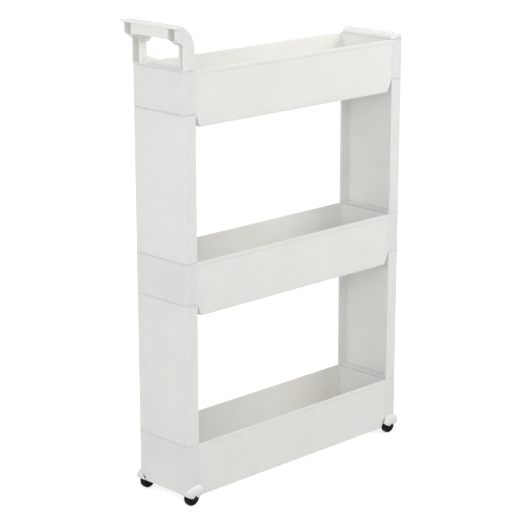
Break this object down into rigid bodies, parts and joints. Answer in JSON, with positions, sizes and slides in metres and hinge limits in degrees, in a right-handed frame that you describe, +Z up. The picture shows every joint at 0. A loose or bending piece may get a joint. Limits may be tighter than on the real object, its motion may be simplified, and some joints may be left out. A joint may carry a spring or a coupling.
{
  "type": "rolling pantry cart",
  "caption": "Slim rolling storage cart: open basins stacked between channel end panels, with a hooked hand-hole handle at one end and a small fixed caster under each corner.",
  "frame": {"origin": "on the floor, under the middle of the whole cart's box", "axes": "+Z up; +Y from the handle end to the rear end, along the length; +X to the right seen from the handle end, across the narrow width, along the wheel axles"},
  "size_m": [0.1216, 0.4829, 0.7195],
  "materials": {
    "tray": "semi-gloss warm white moulded plastic",
    "panel": "semi-gloss neutral white moulded plastic",
    "handle": "semi-gloss warm white moulded plastic",
    "cap": "semi-gloss warm white moulded plastic",
    "housing": "semi-gloss white moulded plastic",
    "wheel": "black hard plastic, slightly scuffed tread",
    "axle": "black hard plastic"
  },
  "bodies": {
    "cart": {"tray_bottom": "tray", "tray_middle": "tray", "tray_top": "tray", "panel_front_lower": "panel", "panel_front_upper": "panel", "panel_rear_lower": "panel", "panel_rear_upper": "panel", "handle": "handle", "rear_cap": "cap", "caster_housing_front_left": "housing", "caster_housing_front_right": "housing", "caster_housing_rear_left": "housing", "caster_housing_rear_right": "housing", "axle_front_left": "axle", "axle_front_right": "axle", "axle_rear_left": "axle", "axle_rear_right": "axle"},
    "wheel_front_left": {"wheel_front_left": "wheel"},
    "wheel_front_right": {"wheel_front_right": "wheel"},
    "wheel_rear_left": {"wheel_rear_left": "wheel"},
    "wheel_rear_right": {"wheel_rear_right": "wheel"}
  },
  "joints": [
    {"name": "wheel_front_left_spin", "type": "hinge", "parent": "cart", "child": "wheel_front_left", "pos_m": [-0.05, -0.21245, 0.013], "axis": [1, 0, 0], "continuous": true},
    {"name": "wheel_front_right_spin", "type": "hinge", "parent": "cart", "child": "wheel_front_right", "pos_m": [0.05, -0.21245, 0.013], "axis": [1, 0, 0], "continuous": true},
    {"name": "wheel_rear_left_spin", "type": "hinge", "parent": "cart", "child": "wheel_rear_left", "pos_m": [-0.05, 0.22615, 0.013], "axis": [1, 0, 0], "continuous": true},
    {"name": "wheel_rear_right_spin", "type": "hinge", "parent": "cart", "child": "wheel_rear_right", "pos_m": [0.05, 0.22615, 0.013], "axis": [1, 0, 0], "continuous": true}
  ]
}
